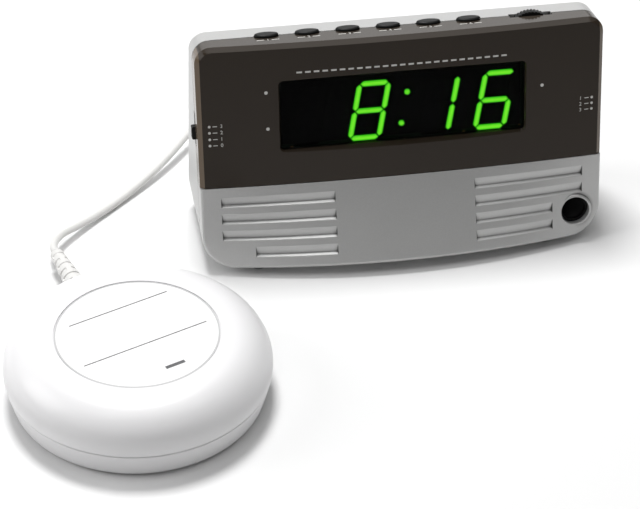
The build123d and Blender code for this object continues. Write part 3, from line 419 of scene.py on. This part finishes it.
def textMesh(words, height, capShare=0.7):  # a capital's height is this share of the type size
    curve = bpy.data.curves.new("legendText", "FONT")
    curve.body = words
    curve.size = height / capShare
    curve.align_x = "CENTER"
    curve.align_y = "CENTER"
    stand = bpy.data.objects.new("legendText", curve)
    bpy.context.scene.collection.objects.link(stand)
    mesh = bpy.data.meshes.new_from_object(stand.evaluated_get(bpy.context.evaluated_depsgraph_get()))
    bpy.data.objects.remove(stand)
    bpy.data.curves.remove(curve)
    return mesh


def addText(bm, words, height, x, y):
    mesh = textMesh(words, height)
    mesh.transform(Matrix.Translation((x, y, 0)))
    bm.from_mesh(mesh)
    bpy.data.meshes.remove(mesh)


def addDot(bm, x, y, radius, sides=20):
    spot = Matrix.Translation((x, y, 0))
    bmesh.ops.create_circle(bm, cap_ends=True, segments=sides, radius=radius, matrix=spot)


def addBar(bm, x, y, length, width):
    shape = Matrix.Translation((x, y, 0)) @ Matrix.Diagonal((length, width, 1, 1))
    return bmesh.ops.create_grid(bm, x_segments=1, y_segments=1, size=0.5, matrix=shape)["verts"]


# lit digits


display = dict(middle=62.4, height=25.4, width=14.0, stroke=2.2, slant=10.5, gap=0.35, tipShare=0.48,
               places=(-37.0, -13.2, 15.2, 38.4), lit=("", "abcdefg", "bc", "acdefg"), moduleFront=2.0,
               barHeight=0.4, core=0.85, unlitHeight=0.1, unlitCore=0.5, dome=0.1, colonX=1.1,
               colonSpread=13.3, colonRadius=1.2, colonSides=24)


def addSegment(bm, place, segment):
    w = (display["width"] - display["stroke"]) / 2
    h = (display["height"] - display["stroke"]) / 2
    spots = dict(a=(0, h), b=(w, h / 2), c=(w, -h / 2), d=(0, -h), e=(-w, -h / 2), f=(-w, h / 2), g=(0, 0))
    level = segment in "adg"
    run = (2 * w if level else h) - 2 * display["gap"]
    size = (run, display["stroke"]) if level else (display["stroke"], run)
    x, y = spots[segment]
    bar = addBar(bm, x, y, *size)
    tips = bmesh.ops.bevel(bm, geom=bar, offset=display["stroke"] * display["tipShare"], offset_type="OFFSET",
                           segments=1, profile=0.5, affect="VERTICES", material=-1)["verts"]
    slanted = Matrix.Translation((place, display["middle"], 0))
    slanted[0][1] = math.tan(math.radians(display["slant"]))
    bmesh.ops.transform(bm, matrix=slanted, verts=tips)


def digitPiece(name, wanted, height, core, material):
    bm = bmesh.new()
    glow = bm.verts.layers.float.new("core")
    for place, lit in zip(display["places"], display["lit"]):
        for segment in "abcdefg":
            if (segment in lit) == wanted:
                addSegment(bm, place, segment)
    if wanted:
        lean = math.tan(math.radians(display["slant"]))
        for up in (-display["colonSpread"] / 2, display["colonSpread"] / 2):
            addDot(bm, display["colonX"] + up * lean, display["middle"] + up, display["colonRadius"],
                   display["colonSides"])
    bmesh.ops.recalc_face_normals(bm, faces=bm.faces)
    raised = bmesh.ops.extrude_face_region(bm, geom=bm.faces[:])["geom"]
    tops = ofKind(raised, bmesh.types.BMFace)
    bmesh.ops.translate(bm, verts=ofKind(raised, bmesh.types.BMVert), vec=(0, 0, height))
    bmesh.ops.inset_individual(bm, faces=tops, thickness=core, depth=display["dome"])
    for face in tops:
        for vert in face.verts:
            vert[glow] = 1.0
    for vert in bm.verts:  # depth grows away from the viewer
        vert.co = leaned @ Vector((vert.co.x, display["moduleFront"] - vert.co.z, vert.co.y))
    return finishPiece(name, bm, material)


litDigits = digitPiece("litDigits", True, display["barHeight"], display["core"], litGreen())
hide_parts("lit_segments")
digitPiece("unlitDigits", False, display["unlitHeight"], display["unlitCore"], unlitGrey())
print("display digits")


# printed marks: plain numbers, dots and ticks


legend = dict(lift=0.05, thickness=0.04, leftRows=(62.1, 59.4, 56.6, 53.9), leftDot=-78.4, leftText=-73.6,
              leftNumbers="3210", rightRows=(60.7, 58.2, 55.7), rightDot=78.4, rightText=73.6,
              rightNumbers="123", rowHeight=1.5, dotRadius=0.55, tickAway=2.2, tickLength=1.8, tickWidth=0.3,
              marks=((-55.4, 75.2), (-55.1, 59.7), (57.1, 68.4)), markRadius=0.7,
              ruleFrom=-42.0, ruleTo=41.0, ruleV=83.0, dashes=25, dashLength=2.2, dashWidth=0.7,
              topDepth=4.4, topHeight=1.7, topDash=3.0, topDashWidth=0.5, firstButton=-53.0, buttonStep=16.4)


def thicken(bm):  # flat print to a thin film
    bmesh.ops.recalc_face_normals(bm, faces=bm.faces)
    bmesh.ops.solidify(bm, geom=bm.faces[:], thickness=legend["thickness"])


def frontLegends():
    bm = bmesh.new()
    for side, inward in (("left", 1), ("right", -1)):
        dot = legend[side + "Dot"]
        tick = dot + inward * legend["tickAway"]
        for number, v in zip(legend[side + "Numbers"], legend[side + "Rows"]):
            addDot(bm, dot, v, legend["dotRadius"])
            addText(bm, number, legend["rowHeight"], legend[side + "Text"], v)
            addBar(bm, tick, v, legend["tickLength"], legend["tickWidth"])
    for u, v in legend["marks"]:
        addDot(bm, u, v, legend["markRadius"])
    step = (legend["ruleTo"] - legend["ruleFrom"]) / (legend["dashes"] - 1)
    for dash in range(legend["dashes"]):
        u = legend["ruleFrom"] + dash * step
        addBar(bm, u, legend["ruleV"], legend["dashLength"], legend["dashWidth"])
    thicken(bm)
    for vert in bm.verts:
        u, v, up = vert.co
        vert.co = leaned @ Vector((u, lensDepth(u) - legend["lift"] / 2 - up, v))
    return finishPiece("frontLegends", bm, printed)


def topLegends():  # a number between two dashes in front of each button
    bm = bmesh.new()
    for index in range(len(buttonNames)):
        u = legend["firstButton"] + index * legend["buttonStep"]
        addText(bm, str(index + 1), legend["topHeight"], u, 0)
        for side in (-1, 1):
            addBar(bm, u + side * legend["topDash"], 0, legend["topDash"], legend["topDashWidth"])
    thicken(bm)
    for vert in bm.verts:
        u, back, up = vert.co
        vert.co = leaned @ Vector((u, legend["topDepth"] + back, case["top"] + legend["lift"] / 2 + up))
    return finishPiece("topLegends", bm, printed)


frontLegends()
topLegends()
print("printed marks")


# puck label rules


def labelRules():
    bm = bmesh.new()
    for x, y, length, width in label["bars"]:
        addBar(bm, x, y, length, width)
    thicken(bm)
    place = (ground @ Matrix.Translation((label["x"], label["y"], label["z"] + label["lift"]))
             @ Matrix.Rotation(math.radians(label["turn"]), 4, "Z"))
    bmesh.ops.transform(bm, matrix=place, verts=bm.verts)
    return finishPiece("labelRules", bm, labelInk())


labelRules()


# ribbed strain relief on the puck


relief = dict(angle=107.8, bend=-2.6, z=7.5, start=51.7, tip=86.0, rootRadius=5.0, tipRadius=2.6, ribs=9,
              ribShare=0.62, grooveDepth=0.8, rootGroove=1.2, grooveFade=0.6, neckRadius=2.9, neckStart=44.87,
              webWidth=2.2, webSunk=0.12, webOverlap=0.1, sides=48, weld=0.001, soften=0.18, softenSteps=2)


def reliefPlace():  # the sleeve bends a little at its root
    root = Matrix.Translation((relief["start"], 0, 0))
    bend = root @ Matrix.Rotation(math.radians(relief["bend"]), 4, "Z") @ root.inverted()
    return (Matrix.Translation((label["x"], label["y"], relief["z"]))
            @ Matrix.Rotation(math.radians(relief["angle"]), 4, "Z") @ bend)


def reliefOutline():  # half profile of the ribs, and the bridge over each groove
    pitch = (relief["tip"] - relief["start"]) / relief["ribs"]
    outline = [(relief["neckStart"], 0), (relief["neckStart"], relief["neckRadius"]),
               (relief["start"], relief["neckRadius"])]
    webs = []
    for index in range(relief["ribs"]):
        share = (index + 0.5) / relief["ribs"]
        radius = relief["rootRadius"] + (relief["tipRadius"] - relief["rootRadius"]) * share
        inner = radius - relief["grooveDepth"] * (relief["rootGroove"] - relief["grooveFade"] * share)
        x = relief["start"] + pitch * index
        ridge = x + pitch * relief["ribShare"]
        outline += [(x, radius), (ridge, radius)]
        if index < relief["ribs"] - 1:
            outline += [(ridge, inner), (x + pitch, inner)]
            webs.append(((ridge + x + pitch) / 2, x + pitch - ridge, radius - relief["webSunk"]))
    outline.append((outline[-1][0], 0))
    return outline, webs


def reliefPiece():
    bm = bmesh.new()
    outline, webs = reliefOutline()
    line = [bm.verts.new((x, radius, 0)) for x, radius in outline]
    for first, second in zip(line, line[1:]):
        bm.edges.new((first, second))
    bmesh.ops.spin(bm, geom=bm.verts[:] + bm.edges[:], cent=(0, 0, 0), axis=(1, 0, 0), angle=2 * math.pi,
                   steps=relief["sides"], use_merge=True)
    bmesh.ops.remove_doubles(bm, verts=bm.verts, dist=relief["weld"])
    bmesh.ops.recalc_face_normals(bm, faces=bm.faces)
    for index, (middle, length, radius) in enumerate(webs):  # every second pair is turned a quarter
        for half in (0, 180):
            turn = Matrix.Rotation(math.radians(half + 90 * (index % 2)), 4, "X")
            size = Matrix.Diagonal((length + relief["webOverlap"], relief["webWidth"], radius, 1))
            shape = Matrix.Translation((middle, 0, radius / 2)) @ size
            bmesh.ops.create_cube(bm, size=1, matrix=turn @ shape)
    bmesh.ops.transform(bm, matrix=ground @ reliefPlace(), verts=bm.verts)
    piece = finishPiece("strainRelief", bm, vinyl)
    soften = piece.modifiers.new("soften", "BEVEL")
    soften.width = relief["soften"] * mm
    soften.segments = relief["softenSteps"]
    soften.limit_method = "ANGLE"
    return piece


reliefSleeve = reliefPiece()
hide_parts("strain_relief")
print("puck label and strain relief")


# cord: the seen stretch, the put-away coil and the lead to the plug, one spline


cordFacts = dict(diameter=3.2, length=1.697, straight=4.4, coil=(33.0, 103.0), coilAngle=135.0,
                 coilOuter=24.0, coilStep=4.5, layerStep=3.85, layers=4, turns=3, low=2.7, pointsPerTurn=24,
                 swellShare=0.87, entryRun=10.0, leaveRun=6.5, plugRun=6.2, plugEnd=(36.0, 54.3, 13.0),
                 lead=((38.6, 73.2, 6.2), (36.3, 66.6, 10.6)), sides=5, steps=6, order=3)
seenRun = ((-139.6, 6.9, 6.2), (-134.5, 12.4, 4.6), (-126.0, 20.4, 2.6), (-116.2, 29.2, 1.9),
           (-105.5, 39.2, 2.4), (-95.0, 49.6, 3.8), (-85.5, 60.6, 5.4), (-77.0, 72.0, 7.0),
           (-66.0, 83.2, 8.4), (-52.5, 92.2, 10.0), (-37.0, 98.8, 11.4), (-21.0, 103.0, 12.6),
           (-6.0, 106.0, 13.6))


def cordRoute():
    c = cordFacts
    start, ahead = (reliefPlace() @ Vector((relief["tip"] + further, 0, 0)) for further in (0, c["straight"]))
    coilAngle = math.radians(c["coilAngle"])
    spoke = Vector((math.cos(coilAngle), math.sin(coilAngle), 0))
    way = Vector((spoke.y, -spoke.x, 0))
    high = c["low"] + c["layerStep"] * (c["layers"] - 1)
    entry = Vector((*c["coil"], high)) + spoke * c["coilOuter"] - way * c["diameter"]
    leave = Vector((*c["coil"], c["low"])) - spoke * c["coilOuter"] - way * c["diameter"]
    end = Vector(c["plugEnd"])
    points = [start, ahead, *(Vector(place) for place in seenRun), entry - way * c["entryRun"], entry]
    points += coilPoints(spoke, way, high)
    points += [leave, leave - way * c["leaveRun"], *(Vector(place) for place in c["lead"])]
    points += [end + Vector((0, c["plugRun"], 0)), end]
    return [ground @ point for point in points]


def coilPoints(spoke, way, high):  # layers wound inward and outward in turn, from the top down
    c = cordFacts
    inner = c["coilOuter"] - c["coilStep"] * c["turns"]
    stations = []
    for layer in range(c["layers"]):
        for half in range(2 * c["turns"] + 1):
            inward = c["coilStep"] * half / 2
            radius = c["coilOuter"] - inward if layer % 2 == 0 else inner + inward
            stations.append((radius, high - c["layerStep"] * layer))
    perHalf = c["pointsPerTurn"] // 2
    # the spline runs just inside its points
    swell = 1 / math.cos(math.pi / c["pointsPerTurn"] * c["swellShare"])
    points = []
    for index, ((r1, z1), (r2, z2)) in enumerate(zip(stations, stations[1:])):
        for step in range(perHalf):
            share = step / perHalf
            angle = math.pi * (index + share)
            radius = (r1 + (r2 - r1) * share) * swell
            rise = (1 - math.cos(math.pi * share)) / 2
            flat = spoke * math.cos(angle) + way * math.sin(angle)
            points.append(Vector((*c["coil"], z1 + (z2 - z1) * rise)) + flat * radius)
    last = spoke * math.cos(math.pi * len(stations) - math.pi)
    points.append(Vector((*c["coil"], stations[-1][1])) + last * stations[-1][0])
    return points


def cordPiece():
    curve = bpy.data.curves.new("cord", "CURVE")
    curve.dimensions = "3D"
    curve.bevel_depth = cordFacts["diameter"] / 2 * mm
    curve.bevel_resolution = cordFacts["sides"]
    curve.resolution_u = cordFacts["steps"]
    curve.use_fill_caps = True
    route = cordRoute()
    spline = curve.splines.new("NURBS")
    spline.points.add(len(route) - 1)
    for point, place in zip(spline.points, route):
        point.co = (*place, 1)
    spline.order_u = cordFacts["order"]
    spline.use_endpoint_u = True
    curve.materials.append(whiteVinyl("cordVinyl"))
    piece = bpy.data.objects.new("cord", curve)
    bpy.context.scene.collection.objects.link(piece)
    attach(piece, wholeBody)
    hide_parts("cord_run", "cord_coil", "cord_lead")
    return piece, route


# strap round the coil


strap = dict(thickness=0.8, corner=1.4, cornerSteps=5)


def tiePiece():
    low, high = (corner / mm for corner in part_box("cord_tie"))
    bm = bmesh.new()
    corners = [(low.y, low.z), (high.y, low.z), (high.y, high.z), (low.y, high.z)]
    face = bm.faces.new([bm.verts.new((low.x, y, z)) for y, z in corners])
    bmesh.ops.bevel(bm, geom=face.verts[:], offset=strap["corner"], offset_type="OFFSET",
                    segments=strap["cornerSteps"], profile=0.5, affect="VERTICES", material=-1)
    face = bm.faces[:][0]
    bmesh.ops.inset_individual(bm, faces=[face], thickness=strap["thickness"])
    bmesh.ops.delete(bm, geom=[face], context="FACES")
    wall = bmesh.ops.extrude_face_region(bm, geom=bm.faces[:])["geom"]
    bmesh.ops.translate(bm, verts=ofKind(wall, bmesh.types.BMVert), vec=(high.x - low.x, 0, 0))
    bmesh.ops.transform(bm, matrix=Matrix.Scale(mm, 4), verts=bm.verts)
    piece = finishPiece("coilStrap", bm, blackPlastic("strapBlack", 0.014, 0.6))
    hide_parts("cord_tie")
    return piece


cord, route = cordPiece()
coilStrap = tiePiece()
print("cord of", len(route), "points")


# stage, light and camera: each light's place, aim, size and power


studio = dict(floorHalf=2.5, world=0.13, lights=dict(
    keyBox=((-0.08, 0.45, 1.42), (-0.02, 0, 0.03), (0.4, 0.4), 19.5),
    topBox=((0.05, -0.32, 1.5), (0.0, 0, 0.03), (1.9, 0.6), 6.2),
    leftBox=((-1.2, 0.15, 0.7), (0, 0, 0.05), (0.8, 0.8), 6),
    frontFill=((-0.1, -1.4, 1.2), (0, 0, 0.03), (1.2, 1.0), 0.8),
    backStrip=((0.15, 1.8, 0.45), (0, 0, 0.05), (2.6, 0.6), 6)))


def areaLight(name, place, aim, size, power):
    lamp = bpy.data.lights.new(name, "AREA")
    lamp.shape = "RECTANGLE"
    lamp.size, lamp.size_y = size
    lamp.energy = power
    light = bpy.data.objects.new(name, lamp)
    light.location = place
    light.rotation_euler = (Vector(aim) - Vector(place)).to_track_quat("-Z", "Y").to_euler()
    bpy.context.scene.collection.objects.link(light)


def stage():
    bm = bmesh.new()
    bmesh.ops.create_grid(bm, x_segments=2, y_segments=2, size=studio["floorHalf"])
    mesh = bpy.data.meshes.new("floor")
    bm.to_mesh(mesh)
    bm.free()
    mesh.materials.append(floorWhite())
    floor = bpy.data.objects.new("floor", mesh)
    bpy.context.scene.collection.objects.link(floor)
    for name, settings in studio["lights"].items():
        areaLight(name, *settings)
    world = bpy.data.worlds.new("studio")
    world.use_nodes = True
    backdrop = world.node_tree.nodes["Background"].inputs
    backdrop["Color"].default_value = (1.0, 1.0, 1.0, 1)
    backdrop["Strength"].default_value = studio["world"]
    bpy.context.scene.world = world
    bpy.context.scene.view_settings.view_transform = "Standard"


def photoCamera():
    view = dict(place=(-0.13625, -0.73687, 0.61106), right=(0.98504, -0.17175, 0.01437),
                up=(0.09393, 0.60484, 0.79079), ahead=(0.14451, 0.7776, -0.61192), lens=135.83, sensor=36.0)
    data = bpy.data.cameras.new("photoCamera")
    data.sensor_width = view["sensor"]
    data.sensor_fit = "HORIZONTAL"
    data.lens = view["lens"]
    camera = bpy.data.objects.new("photoCamera", data)
    columns = [Vector(view["right"]), Vector(view["up"]), -Vector(view["ahead"])]
    camera.matrix_world = Matrix.Translation(view["place"]) @ Matrix(columns).transposed().to_4x4()
    bpy.context.scene.collection.objects.link(camera)
    bpy.context.scene.camera = camera


stage()
photoCamera()
print("stage, light and camera")
